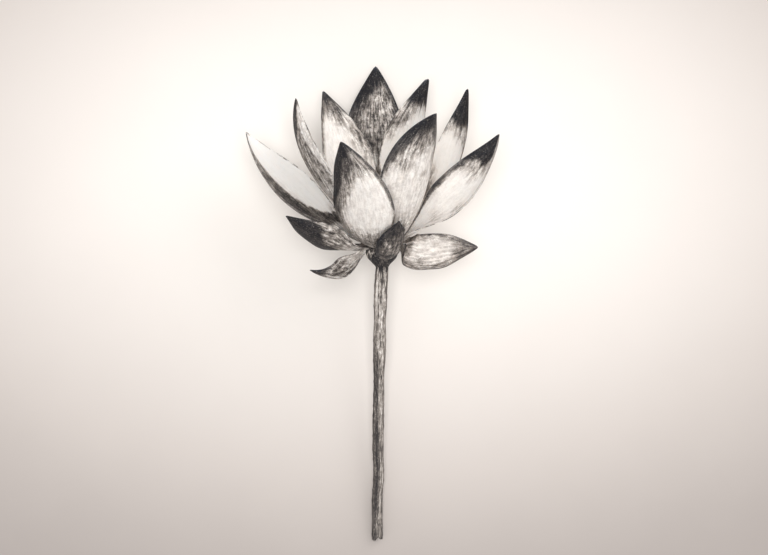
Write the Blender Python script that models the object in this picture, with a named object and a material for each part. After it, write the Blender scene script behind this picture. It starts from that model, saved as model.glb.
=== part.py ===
"""A cut lotus flower lying on its back: stem, seed head, carpels, stamens, petals and sepals.

Metres, +Z up. The stem's cut end and the lowest petals rest on z = 0, the flower opens towards +Y, and +X is
the viewer's right when the flower is seen from above. Sizes below are in millimetres and degrees.

Flower coordinates are (right, front, up): up runs along the flower's own axis from the base of the bulb, front
faces the viewer and right is +X. A bearing is measured round the axis from the front towards the right.
"""
import math

import bmesh
import bpy
import numpy as np

MM = 0.001
MERGE = 1e-7                                  # metres

# Pose: the axis is tipped up from the floor, because the wide head props up its end of the stem.
AXIS_TILT = math.radians(12)
BASE = np.array([6.0, 26.3, 40.0])            # base of the bulb; the origin is under the middle of the flower
RIGHT = np.array([1.0, 0.0, 0.0])
FRONT = np.array([0.0, -math.sin(AXIS_TILT), math.cos(AXIS_TILT)])
UP = np.array([0.0, math.cos(AXIS_TILT), math.sin(AXIS_TILT)])

# Stem and bulb.
STEM_RADIUS = 3.8
STEM_END = np.array([4.2, -149.2, 3.8])
STEM_END_SLOPE = math.radians(5)              # the last stretch sags towards the floor
STEM_RINGS = 26
STEM_SIDES = 14
BULB_TOP = 13.4
BULB_PROFILE = [(-3, 3.9), (-1.5, 4.8), (0.5, 6.6), (2.8, 8.6), (5.5, 9.7), (8, 9.6), (10, 8.8), (12, 7.7),
                (BULB_TOP, 6.9)]              # (height, radius), the swelling that carries the petals

# Seed head: an upturned cone with a flat top, pitted for the carpels.
HEAD_PROFILE = [(13.7, 6.2), (16, 6.9), (20, 8.0), (25, 9.9), (29, 11.7), (31, 12.4), (32, 12.2)]
HEAD_SIDES = 32
PIT_RADIUS = 1.7
PIT_DEPTH = 2.6
CARPEL_RINGS = [(1, 0.0, 0), (5, 4.3, 20), (9, 8.4, 0)]      # (count, ring radius, first bearing)
CARPEL_RADIUS = 1.35
CARPEL_RISE = 1.6                             # how far a carpel's cap stands out of its pit

# Stamens: one ring of filaments that spring from a short collar round the foot of the seed head.
STAMENS = 36
COLLAR_INNER = 7.5
COLLAR_OUTER = 8.5
COLLAR_BOTTOM = 14.6
COLLAR_TOP = 16.0
STAMEN_LEAN = math.radians(21)
# (distance from the collar, thickness): filament, anther, and the small club that ends it
STAMEN_SECTIONS = [(2, 0.5), (16, 0.45), (18, 0.9), (26, 0.8), (28, 0.4), (31, 0.7)]

# Petals and sepals.
THICKNESS = 0.9
PETAL_ROWS = 10
PETAL_COLUMNS = 6
ARM = 0.36                                    # length of the spine's end handles, as a share of its chord
# Where each whorl leaves the bulb: (radius, height).
INNER = (8.5, 13.0)
MIDDLE = (9.5, 11.0)
OUTER = (10.5, 9.0)
LOW = (11.0, 7.0)
CALYX = (11.0, 4.5)

WHITE = (0.86, 0.83, 0.79)
CHARCOAL = (0.05, 0.05, 0.055)
STEM_GREY = (0.22, 0.22, 0.21)
PALE = (0.72, 0.70, 0.64)


def clear_scene():
    for item in list(bpy.data.objects):
        bpy.data.objects.remove(item, do_unlink=True)


def finish(name, color, roughness):
    """A plain dielectric material."""
    material = bpy.data.materials.new(name)
    material.use_nodes = True
    shader = material.node_tree.nodes["Principled BSDF"]
    shader.inputs["Base Color"].default_value = (*color, 1)
    shader.inputs["Roughness"].default_value = roughness
    shader.inputs["Metallic"].default_value = 0
    return material


def to_world(right, front, up):
    """Flower coordinates in millimetres to world coordinates in metres."""
    place = BASE + right[..., None] * RIGHT + front[..., None] * FRONT + up[..., None] * UP
    return place * MM


def round_axis(radius, bearing, up):
    """A point given by its distance from the flower's axis, its bearing and its height."""
    radius, bearing, up = np.broadcast_arrays(radius, bearing, up)
    return to_world(radius * np.sin(bearing), radius * np.cos(bearing), up)


def add_object(name, mesh, material):
    item = bpy.data.objects.new(name, mesh)
    mesh.materials.append(material)
    mesh.shade_smooth()
    mesh.set_sharp_from_angle(angle=math.radians(50))
    bpy.context.collection.objects.link(item)
    return item


def mesh_from(name, points, faces):
    """A mesh with coincident points joined and all faces pointing outwards."""
    mesh = bpy.data.meshes.new(name)
    mesh.from_pydata([tuple(point) for point in points], [], faces)
    form = bmesh.new()
    form.from_mesh(mesh)
    bmesh.ops.remove_doubles(form, verts=form.verts, dist=MERGE)
    bmesh.ops.recalc_face_normals(form, faces=form.faces)
    form.to_mesh(mesh)
    form.free()
    return mesh


def tube_faces(rings, sides):
    """Side quads between rings of points, with a flat cap on the first and the last ring."""
    faces = []
    for ring in range(rings - 1):
        for side in range(sides):
            beside = (side + 1) % sides
            faces.append((ring * sides + side, ring * sides + beside,
                          (ring + 1) * sides + beside, (ring + 1) * sides + side))
    faces.append(tuple(range(sides)))
    faces.append(tuple((rings - 1) * sides + side for side in range(sides)))
    return faces


def bezier(ends, share):
    """A cubic Bezier curve through four control points, and its unit tangent."""
    share = share[:, None]
    rest = 1 - share
    a, b, c, d = (np.asarray(end, dtype=float) for end in ends)
    place = rest**3 * a + 3 * rest**2 * share * b + 3 * rest * share**2 * c + share**3 * d
    along = rest**2 * (b - a) + 2 * rest * share * (c - b) + share**2 * (d - c)
    return place, along / np.linalg.norm(along, axis=1, keepdims=True)


def add_stem(material):
    """The stalk swept from its cut end up to the bulb, and the bulb turned about the flower's axis."""
    bulb = np.array(BULB_PROFILE)
    joint = BASE + bulb[0, 0] * UP
    reach = np.linalg.norm(joint - STEM_END)
    end_way = np.array([0.0, math.cos(STEM_END_SLOPE), math.sin(STEM_END_SLOPE)])
    share = np.linspace(0, 1, STEM_RINGS)
    spine, along = bezier([STEM_END, STEM_END + reach / 3 * end_way, joint - reach / 3 * UP, joint], share)
    radii = STEM_RADIUS + 0.25 * np.sin(17 * share) * np.sin(np.pi * share)
    spine = np.vstack([spine, BASE + bulb[1:, :1] * UP])
    along = np.vstack([along, np.tile(UP, (len(bulb) - 1, 1))])
    radii = np.concatenate([radii, bulb[1:, 1]])
    across = np.cross(along, FRONT)
    across /= np.linalg.norm(across, axis=1, keepdims=True)
    front = np.cross(across, along)
    turn = np.arange(STEM_SIDES) * math.tau / STEM_SIDES
    rings = spine[:, None] + radii[:, None, None] * (
        across[:, None] * np.cos(turn)[None, :, None] + front[:, None] * np.sin(turn)[None, :, None])
    mesh = mesh_from("stem", rings.reshape(-1, 3) * MM, tube_faces(len(spine), STEM_SIDES))
    return add_object("stem", mesh, material)


def lathe(name, profile, sides, center=(0.0, 0.0), first=0.0):
    """A profile of (height, radius) points turned about a line parallel to the flower's axis."""
    height = np.array([point[0] for point in profile])[:, None]
    radius = np.array([point[1] for point in profile])[:, None]
    turn = (first + np.arange(sides) * math.tau / sides)[None]
    points = to_world(center[0] + radius * np.sin(turn), center[1] + radius * np.cos(turn), height + 0 * turn)
    return mesh_from(name, points.reshape(-1, 3), tube_faces(len(profile), sides))


def carpel_places():
    """Bearing and distance from the axis of each carpel, from the middle outwards."""
    places = []
    for count, ring, first in CARPEL_RINGS:
        for index in range(count):
            places.append((math.radians(first) + index * math.tau / count, ring))
    return places


def add_seed_head(material):
    head = add_object("seed_head", lathe("seed_head", HEAD_PROFILE, HEAD_SIDES), material)
    top = HEAD_PROFILE[-1][0]
    cutter_points = []
    cutter_faces = []
    for bearing, ring in carpel_places():
        center = (ring * math.sin(bearing), ring * math.cos(bearing))
        pit = lathe("pit", [(top - PIT_DEPTH, PIT_RADIUS), (top + 1, PIT_RADIUS)], 8, center)
        start = len(cutter_points)
        cutter_points += [tuple(vertex.co) for vertex in pit.vertices]
        cutter_faces += [tuple(start + corner for corner in face.vertices) for face in pit.polygons]
    pits = bpy.data.objects.new("pit_cutter", mesh_from("pit_cutter", cutter_points, cutter_faces))
    bpy.context.collection.objects.link(pits)
    pits.hide_render = True
    pits.display_type = "WIRE"
    cut = head.modifiers.new("pits", "BOOLEAN")
    cut.operation = "DIFFERENCE"
    cut.object = pits
    return head


def add_carpels(material):
    """One small pear-shaped carpel in each pit, its cap standing out."""
    top = HEAD_PROFILE[-1][0]
    floor = top - PIT_DEPTH + 0.3
    cap = top + CARPEL_RISE
    profile = [(floor, 0.5), (floor + 0.7, CARPEL_RADIUS), (top + 0.2, CARPEL_RADIUS), (cap - 0.5, 0.75), (cap, 0.5)]
    for number, (bearing, ring) in enumerate(carpel_places(), 1):
        center = (ring * math.sin(bearing), ring * math.cos(bearing))
        name = f"carpel_{number:02d}"
        add_object(name, lathe(name, profile, 8, center), material)


def add_stamens(material):
    """A collar with a filament drawn out of every other field of its top, each in six short sections."""
    fields = 2 * STAMENS
    bearings = np.arange(fields) * math.tau / fields
    walls = [(COLLAR_OUTER, COLLAR_TOP), (COLLAR_INNER, COLLAR_TOP), (COLLAR_INNER, COLLAR_BOTTOM),
             (COLLAR_OUTER, COLLAR_BOTTOM)]
    points = [point for radius, height in walls for point in round_axis(radius, bearings, height)]
    middle = (COLLAR_INNER + COLLAR_OUTER) / 2
    faces = []
    for field in range(fields):
        beside = (field + 1) % fields
        for wall in range(4):
            below = (wall + 1) % 4
            corners = (wall * fields + field, wall * fields + beside, below * fields + beside, below * fields + field)
            if wall or field % 2:
                faces.append(corners)
                continue
            bearing = bearings[field] + math.pi / fields
            for distance, thick in STAMEN_SECTIONS:
                radius = middle + distance * math.sin(STAMEN_LEAN)
                height = COLLAR_TOP + distance * math.cos(STAMEN_LEAN)
                start = len(points)
                for out, turn in ((1, -1), (1, 1), (-1, 1), (-1, -1)):
                    far = radius + out * thick / 2
                    points.append(round_axis(far, bearing + turn * thick / 2 / far, height))
                ring = tuple(range(start, start + 4))
                faces += [(corners[side], corners[(side + 1) % 4], ring[(side + 1) % 4], ring[side]) for side in range(4)]
                corners = ring
            faces.append(corners)
    return add_object("stamens", mesh_from("stamens", points, faces), material)


def petal_width(share, widest, claw, taper):
    """Half-width along a petal, as a share of its greatest: a claw at the foot, full at widest, pointed at the tip."""
    rising = claw + (1 - claw) * np.sin(math.pi / 2 * np.clip(share / widest, 0, 1))**1.3
    falling = 1 - np.clip((share - widest) / (1 - widest), 0, 1)**taper
    return np.where(share < widest, rising, falling)


def petal_surface(share, across, whorl, tip, width, widest, claw, taper, cup, open_by, close_by, roll, sway=0,
                  settle=0.45):
    """Middle surface of a petal in flower coordinates.

    The spine is a Bezier curve in the plane of the axis and the tip. It leaves the bulb open_by degrees wider than
    its chord and arrives at the tip close_by degrees steeper than it. Across the spine the petal is an arc of a circle
    that turns through twice cup degrees, moved sideways by sway, and rolled about the spine by roll degrees,
    a turn that grows from nothing at the foot to its full size at settle.
    """
    right, front, up = tip
    bearing = math.atan2(right, front)
    foot = np.array(whorl)
    end = np.array([math.hypot(right, front), up])
    chord = end - foot
    lean = math.atan2(chord[0], chord[1])
    arm = ARM * np.linalg.norm(chord)
    leave = lean + math.radians(open_by)
    arrive = lean - math.radians(close_by)
    spine, along = bezier([foot, foot + arm * np.array([math.sin(leave), math.cos(leave)]),
                           end - arm * np.array([math.sin(arrive), math.cos(arrive)]), end], share)
    half = width / 2 * petal_width(share, widest, claw, taper)[:, None]
    arc = math.radians(cup)
    bend = np.maximum(half, 1e-6) / arc
    beside = bend * np.sin(arc * across[None])
    inward = bend * (1 - np.cos(arc * across[None]))
    ease = np.clip(share / settle, 0, 1)
    turn = (math.radians(roll) * ease**2 * (3 - 2 * ease))[:, None]
    shift = (sway * np.sin(math.pi / 2 * share)**2 * np.sin(math.pi * share))[:, None]
    side = beside * np.cos(turn) - inward * np.sin(turn) + shift
    depth = beside * np.sin(turn) + inward * np.cos(turn)
    radius = spine[:, :1] - along[:, 1:] * depth
    height = spine[:, 1:] + along[:, :1] * depth
    return (radius * math.sin(bearing) + side * math.cos(bearing),
            radius * math.cos(bearing) - side * math.sin(bearing), height)


def add_petal(name, material, **shape):
    """A closed lens: two skins either side of the middle surface that meet along the rim and at the tip."""
    share = np.linspace(0, 1, PETAL_ROWS + 1)
    across = np.linspace(-1, 1, PETAL_COLUMNS + 1)
    middle = to_world(*petal_surface(share, across, **shape))
    normal = np.cross(np.gradient(middle, axis=1), np.gradient(middle, axis=0))
    normal /= np.maximum(np.linalg.norm(normal, axis=2, keepdims=True), 1e-12)
    half = np.full((PETAL_ROWS + 1, PETAL_COLUMNS + 1, 1), THICKNESS / 2 * MM)
    half[-1] = half[:, 0] = half[:, -1] = 0
    skins = np.stack([middle - half * normal, middle + half * normal])
    corner = np.arange(skins[..., 0].size).reshape(skins.shape[:3])
    faces = [tuple(map(int, (skin[row, column], skin[row, column + 1], skin[row + 1, column + 1], skin[row + 1, column])))
             for skin in corner for row in range(PETAL_ROWS) for column in range(PETAL_COLUMNS)]
    faces += [tuple(map(int, (corner[0, 0, column], corner[0, 0, column + 1],
                              corner[1, 0, column + 1], corner[1, 0, column]))) for column in range(PETAL_COLUMNS)]
    return add_object(name, mesh_from(name, skins.reshape(-1, 3), faces), material)

def add_petals(bloom):
    """The bloom, from the whorl next to the stamens to the one that droops."""
    add_petal("petal_inner_left", bloom, whorl=INNER, tip=(-16.5, 31, 70), width=35, widest=0.51, claw=0.18,
              taper=2, cup=39, open_by=31, close_by=25, roll=-17, sway=0.5)
    add_petal("petal_inner_right", bloom, whorl=INNER, tip=(19.5, 28.5, 81), width=33, widest=0.53, claw=0.14,
              taper=2, cup=45, open_by=26, close_by=15, roll=6)
    add_petal("petal_back_right", bloom, whorl=INNER, tip=(29, -36, 109.5), width=43.5, widest=0.52, claw=0.1,
              taper=1.8, cup=52, open_by=23, close_by=7, roll=-5, sway=8)
    add_petal("petal_back_left", bloom, whorl=INNER, tip=(-37, -41.5, 101), width=41, widest=0.57, claw=0.1,
              taper=1.5, cup=49, open_by=14, close_by=-1, roll=-8, sway=1)
    add_petal("petal_left_back", bloom, whorl=INNER, tip=(-53, -3.5, 102.5), width=39, widest=0.58, claw=0.11,
              taper=2.1, cup=38, open_by=14, close_by=35, roll=23, sway=6.5)
    add_petal("petal_right_back", bloom, whorl=MIDDLE, tip=(53.5, -24.5, 105), width=33.5, widest=0.54, claw=0.12,
              taper=2, cup=43, open_by=31, close_by=24, roll=9, sway=1.5)
    add_petal("petal_right", bloom, whorl=MIDDLE, tip=(72, 8.5, 82), width=34, widest=0.48, claw=0.1,
              taper=2.2, cup=47, open_by=10, close_by=21, roll=47, sway=-2.5)
    add_petal("petal_left", bloom, whorl=MIDDLE, tip=(-84, -5.5, 81), width=47, widest=0.53, claw=0.13,
              taper=2, cup=44, open_by=18, close_by=29, roll=-18, sway=3)
    add_petal("petal_front_right", bloom, whorl=MIDDLE, tip=(32.5, 47.5, 101), width=49, widest=0.53, claw=0.19,
              taper=2.2, cup=56, open_by=24, close_by=-11, roll=8, sway=1.5)
    add_petal("petal_front_left", bloom, whorl=MIDDLE, tip=(-24.5, 51.5, 84.5), width=48, widest=0.45, claw=0.2,
              taper=2.2, cup=48, open_by=42, close_by=14, roll=-4, sway=5)
    add_petal("petal_back_centre", bloom, whorl=OUTER, tip=(-4, -49.5, 115.5), width=42.5, widest=0.52, claw=0.12,
              taper=2.3, cup=41, open_by=17, close_by=27, roll=3, sway=2)
    add_petal("petal_low_left", bloom, whorl=OUTER, tip=(-59, 16.5, 32.5), width=33.5, widest=0.49, claw=0.4,
              taper=1.7, cup=41, open_by=32, close_by=19, roll=36, sway=6)
    add_petal("petal_low_right", bloom, whorl=(11, 9), tip=(59.5, 5, 10.5), width=32, widest=0.49, claw=0.92,
              taper=1.9, cup=60, open_by=48, close_by=11, roll=46, settle=0.14)
    add_petal("petal_under_right", bloom, whorl=LOW, tip=(32, -54.5, 64.5), width=45.5, widest=0.5, claw=0.17,
              taper=2.1, cup=36, open_by=6, close_by=8, roll=14, sway=-0.5)
    add_petal("petal_under_left", bloom, whorl=LOW, tip=(-29.5, -51, 63), width=39, widest=0.51, claw=0.15,
              taper=2, cup=34, open_by=4, close_by=18, roll=13, sway=-3.5)
    add_petal("petal_under_centre", bloom, whorl=CALYX, tip=(1, -45, 33.5), width=26, widest=0.51, claw=0.1,
              taper=2, cup=39, open_by=40, close_by=25, roll=5)


def add_sepals(dark):
    """The small outermost leaves, which clasp the bulb."""
    add_petal("sepal_front", dark, whorl=CALYX, tip=(10.5, 35.5, 33), width=23, widest=0.52, claw=0.65,
              taper=2, cup=42, open_by=22, close_by=26, roll=18, sway=-1.5)
    add_petal("sepal_left", dark, whorl=(12, 6.5), tip=(-44.5, 16.5, -1.5), width=21, widest=0.43, claw=0.47,
              taper=1.7, cup=49, open_by=37, close_by=45, roll=-20, sway=13)
    add_petal("sepal_back_right", dark, whorl=CALYX, tip=(16, -26, 22.5), width=16, widest=0.5, claw=0.48,
              taper=2, cup=47, open_by=16, close_by=19, roll=8, sway=9)
    add_petal("sepal_back_left", dark, whorl=CALYX, tip=(-15, -26, 22), width=16.5, widest=0.51, claw=0.46,
              taper=2, cup=46, open_by=14, close_by=24, roll=3, sway=1)


def main():
    clear_scene()
    add_stem(finish("stem", STEM_GREY, 0.7))
    add_seed_head(finish("seed_head", PALE, 0.7))
    add_carpels(finish("carpel", CHARCOAL, 0.5))
    add_stamens(finish("stamen", PALE, 0.6))
    add_petals(finish("petal", WHITE, 0.55))
    add_sepals(finish("sepal", CHARCOAL, 0.6))


main()
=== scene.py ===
"""A cut lotus flower lying on its back, finished in the pale and charcoal tones of a monochrome bloom.

Lengths inside the sections are in millimetres and angles in degrees, and each mesh is turned to metres as
it is made. Flower coordinates are (right, front, up): up runs along the flower's own axis from the foot of
the bulb, front is the side that faces up from the floor, and right is +X.
"""
import math

import bmesh
import bpy
import numpy as np
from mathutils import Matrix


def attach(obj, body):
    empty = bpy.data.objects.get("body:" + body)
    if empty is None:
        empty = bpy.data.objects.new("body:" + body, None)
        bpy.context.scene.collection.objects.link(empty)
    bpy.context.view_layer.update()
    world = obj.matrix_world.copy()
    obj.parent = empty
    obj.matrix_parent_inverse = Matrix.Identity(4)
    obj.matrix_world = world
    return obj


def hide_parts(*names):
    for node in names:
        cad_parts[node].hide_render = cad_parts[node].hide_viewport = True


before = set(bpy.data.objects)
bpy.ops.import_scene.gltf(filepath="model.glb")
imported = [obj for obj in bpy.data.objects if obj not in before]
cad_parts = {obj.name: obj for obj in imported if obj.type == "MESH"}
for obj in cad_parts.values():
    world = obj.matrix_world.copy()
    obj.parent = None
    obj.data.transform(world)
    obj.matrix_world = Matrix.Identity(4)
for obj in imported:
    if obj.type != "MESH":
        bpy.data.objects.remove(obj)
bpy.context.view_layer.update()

MM = 0.001

# ----------------------------------------------------------------------------------------------------
# Stem and bulb. One stalk that swells into the bulb all other parts grow from. Its lower end was cut and torn,
# which left a ragged rim round the air canals that run through every lotus stalk.

AXIS_TILT = math.radians(12)
BASE = np.array([6.0, 26.3, 40.0])
RIGHT = np.array([1.0, 0.0, 0.0])
FRONT = np.array([0.0, -math.sin(AXIS_TILT), math.cos(AXIS_TILT)])
UP = np.array([0.0, math.cos(AXIS_TILT), math.sin(AXIS_TILT)])

STEM_RADIUS = 3.8
STEM_END = np.array([4.2, -149.2, 3.8])
STEM_END_SLOPE = math.radians(5)
STALK_RADII = [(0, 3.25), (0.25, 3.3), (0.45, 3.5), (0.62, 3.35), (0.7, 3.95), (0.8, 3.7), (0.9, 4.1),
               (1, 3.9)]      # (share of the stalk, radius)
STALK_BOW = 1.25                  # how far the stalk's middle line runs to the left of a straight one
STALK_KINK = 0.6                  # and how far it comes back a quarter of the way up
STEM_ROWS = 420
STEM_COLUMNS = 96
BULB_ROWS = 90
BULB_PROFILE = [(-3, 3.9), (-1.5, 4.8), (0.5, 6.6), (2.8, 8.6), (5.5, 9.7), (8, 9.6), (10, 8.8), (12, 7.7),
                (13.4, 6.9)]      # (height, radius)
TORN_RIM = [(0, 0.6), (0.2, 0.9), (0.42, 6.6), (0.95, 5.8), (1.35, 2.6), (1.8, 0.6), (2.3, 0.0), (2.9, 0.5),
            (3.4, 2.2), (4.2, 3.4), (5.2, 4.4), (5.9, 6.0), (6.1, 0.9), (math.tau, 0.6)]
# Each point of the torn rim is a bearing, and how far the rim is drawn back there.
RIM_REACH = 9                     # how far up the stalk the torn outline can still be felt
CUT_FACE_ROWS = 40
CUT_FACE_DEPTH = 2.9
CANAL_RADIUS = 0.55
CANALS = [(0.0, 0.0)] + [(1.8, turn * math.tau / 7) for turn in range(7)]      # (distance out, bearing)
CANAL_DEPTH = 4.0
JOIN_DISTANCE = 1e-7              # points of a mesh closer than this, in metres, become one


class Tone:
    """One output of a node in a material. Sums on it add Math nodes, and node() adds any other kind."""

    def __init__(self, tree, output=None):
        self.tree = tree
        self.output = output

    def node(self, kind, settings=None, values=None, output=0):
        """Add a node: its settings first, then the values or links of its sockets, by name or number."""
        made = self.tree.nodes.new(kind)
        for name, value in (settings or {}).items():
            if name == "stops":
                while len(made.color_ramp.elements) < len(value):
                    made.color_ramp.elements.new(0.5)
                for stop, (place, color) in zip(made.color_ramp.elements, value):
                    stop.position = place
                    stop.color = (*color, 1)
            else:
                setattr(made, name, value)
        for name, value in (values or {}).items():
            if isinstance(value, Tone):
                self.tree.links.new(value.output, made.inputs[name])
            else:
                made.inputs[name].default_value = value
        return Tone(self.tree, made.outputs[output])

    def math(self, operation, *others):
        return self.node("ShaderNodeMath", {"operation": operation}, dict(enumerate((self, *others))))

    def __add__(self, other):
        return self.math("ADD", other)

    def __mul__(self, other):
        return self.math("MULTIPLY", other)

    def __sub__(self, other):
        return self.math("SUBTRACT", other)

    def __rsub__(self, other):
        return self.node("ShaderNodeMath", {"operation": "SUBTRACT"}, {0: other, 1: self})

    def __or__(self, other):
        """Either mark, where 0 is bare and 1 is full: a + b - a b."""
        return self + other - self * other

    def rise(self, low, high):
        """0 below low, 1 above high, and a smooth step between."""
        return self.node("ShaderNodeMapRange", {"interpolation_type": "SMOOTHSTEP"},
                         {"Value": self, "From Min": low, "From Max": high})

    def place(self, right, front, up):
        return self.node("ShaderNodeCombineXYZ", None, {0: right, 1: front, 2: up})

    def noise(self, place, scale=1.0, detail=4.0, roughness=0.6):
        return self.node("ShaderNodeTexNoise", None,
                         {"Vector": place, "Scale": scale, "Detail": detail, "Roughness": roughness})

    def split(self, letter):
        return self.node("ShaderNodeSeparateXYZ", None, {0: self}, letter)


# Bare plant white, the warm greys between, and charcoal, as display values out of 255.
GREYS = [(0.0, (254, 249, 244)), (0.25, (202, 194, 188)), (0.5, (148, 140, 133)), (0.75, (90, 84, 81)),
         (1.0, (38, 37, 40))]


def to_linear(color):
    """Display values out of 255 to the linear light that a shader works in."""
    return tuple(((value / 255 + 0.055) / 1.055)**2.4 for value in color)


GREY_STOPS = [(place, to_linear(color)) for place, color in GREYS]


def new_finish(name, roughness=0.55, specular=0.2):
    """A Principled material with the values that are the same all over it."""
    material = bpy.data.materials.new(name)
    material.use_nodes = True
    shader = material.node_tree.nodes["Principled BSDF"]
    shader.inputs["Roughness"].default_value = roughness
    shader.inputs["Specular IOR Level"].default_value = specular
    return material, shader, Tone(material.node_tree)


def wire(shader, name, tone):
    tone.tree.links.new(tone.output, shader.inputs[name])


def relief(shader, height, distance):
    """Fine relief on the surface: distance is the height in millimetres that a value of 1 stands for."""
    wire(shader, "Normal", height.node("ShaderNodeBump", None, {"Height": height, "Distance": distance * MM}))


def charcoal(shader, fibre, mottle, grain, contrast=1.5, edge=None):
    """The piece's tone, from its ink attribute, broken up by its own fibres.

    The break-up is strongest in the mid tones. Fine bare specks show in the dark, and dark ones on the grey.
    """
    tone = fibre.node("ShaderNodeAttribute", {"attribute_name": "ink"}, output="Fac")
    if edge:
        tone = tone | edge
    weave = fibre.rise(0.32, 0.68) * 0.52 + mottle.rise(0.34, 0.66) * 0.28 + grain.rise(0.36, 0.64) * 0.2
    depth = tone.rise(0, 0.5) * (1.12 - tone) * contrast + 0.06
    ink = tone + (weave - 0.5) * depth
    ink = ink - grain.rise(0.59, 0.68) * tone.rise(0.45, 0.8) * 0.36
    ink = ink + (1 - grain).rise(0.58, 0.66) * tone.rise(0.08, 0.32) * 0.4
    wire(shader, "Base Color", ink.node("ShaderNodeValToRGB", {"stops": GREY_STOPS}, {0: ink}))


def step(value):
    """0 below -0.5, 1 above 0.5, and a smooth step between."""
    share = np.clip(value + 0.5, 0, 1)
    return share**2 * (3 - 2 * share)


def above(border, fade, strength):
    """A wash over the part above a border of (across, along) points. Fade is the width of its soft edge."""
    place, height = zip(*border)
    return lambda across, along: strength * step((along - np.interp(across, place, height)) / fade)


def below(border, fade, strength):
    """A wash over the part below a border of (across, along) points."""
    place, height = zip(*border)
    return lambda across, along: strength * step((np.interp(across, place, height) - along) / fade)


def beyond(side, border, fade, strength):
    """A wash over one side, -1 or 1, of a border of (along, across) points."""
    height, place = zip(*border)
    return lambda across, along: strength * step(side * (across - np.interp(along, height, place)) / fade)


def blot(across_middle, along_middle, wide, long, strength):
    """A soft round mark, dark for a strength above 0 and bare for one below it."""
    return lambda across, along: strength * np.exp(-((across - across_middle) / wide)**2
                                                   - ((along - along_middle) / long)**2)


def lay_washes(across, along, body, washes):
    """Tone from 0, bare, to 1, black. Each wash takes its share of what is bare, or lifts what is dark."""
    wander = 0.008 * np.sin(7 * across + 20 * body) + 0.007 * np.sin(23 * across + 5)
    tone = np.full(np.broadcast_shapes(np.shape(across), np.shape(along)), body)
    for wash in washes:
        mark = wash(across, along + wander)
        tone = tone + np.where(mark > 0, (1 - tone) * mark, tone * mark)
    return np.clip(tone, 0, 1)


def to_world(right, front, up):
    """Flower coordinates in millimetres to world millimetres."""
    right, front, up = np.broadcast_arrays(right, front, up)
    return BASE + right[..., None] * RIGHT + front[..., None] * FRONT + up[..., None] * UP


def ring_faces(index):
    """Four-cornered faces between the rows of a grid of point numbers whose columns close into a ring."""
    beside = np.roll(index, -1, axis=-1)
    corners = [index[..., :-1, :], beside[..., :-1, :], beside[..., 1:, :], index[..., 1:, :]]
    return np.stack(corners, axis=-1).reshape(-1, 4)


def add_mesh_piece(name, points, faces, uv, ink, finish, nodes):
    """A piece from its points in world millimetres and its faces, with a uv and an ink tone at each point.

    Points that coincide, as at a pole, are joined.
    """
    mesh = bpy.data.meshes.new(name)
    mesh.from_pydata((points * MM).tolist(), [], faces)
    corners = np.array([corner for face in faces for corner in face])
    layer = mesh.uv_layers.new(name="plan")
    layer.data.foreach_set("uv", uv[corners].astype(np.float32).ravel())
    mesh.attributes.new("ink", "FLOAT", "POINT").data.foreach_set("value", ink.astype(np.float32))
    form = bmesh.new()
    form.from_mesh(mesh)
    bmesh.ops.remove_doubles(form, verts=form.verts, dist=JOIN_DISTANCE)
    bmesh.ops.recalc_face_normals(form, faces=form.faces)
    form.to_mesh(mesh)
    form.free()
    mesh.shade_smooth()
    mesh.materials.append(finish)
    piece = bpy.data.objects.new(name, mesh)
    bpy.context.scene.collection.objects.link(piece)
    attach(piece, "root")
    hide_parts(*nodes)


def add_piece(name, points, uv, ink, finish, nodes):
    """A piece from a grid of points in world millimetres whose columns close into a ring."""
    index = np.arange(points[..., 0].size).reshape(points.shape[:2])
    add_mesh_piece(name, points.reshape(-1, 3), ring_faces(index).tolist(), uv.reshape(-1, 2), ink.ravel(),
                   finish, nodes)


def bezier(ends, share):
    """A cubic Bezier curve through four control points, and its unit tangent."""
    share = share[:, None]
    rest = 1 - share
    a, b, c, d = (np.asarray(end, dtype=float) for end in ends)
    place = rest**3 * a + 3 * rest**2 * share * b + 3 * rest * share**2 * c + share**3 * d
    along = rest**2 * (b - a) + 2 * rest * share * (c - b) + share**2 * (d - c)
    return place, along / np.linalg.norm(along, axis=1, keepdims=True)


def smooth_through(points, at):
    """A curve of (place, value) points joined by cubic pieces, each slope taken from the neighbours."""
    place, value = np.array(points, dtype=float).T
    slope = np.gradient(value, place)
    piece = np.clip(np.searchsorted(place, at) - 1, 0, len(place) - 2)
    span = place[piece + 1] - place[piece]
    share = (at - place[piece]) / span
    return (value[piece] * (1 + 2 * share) * (1 - share)**2 + value[piece + 1] * share**2 * (3 - 2 * share)
            + span * share * (1 - share) * (slope[piece] * (1 - share) - slope[piece + 1] * share))


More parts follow.
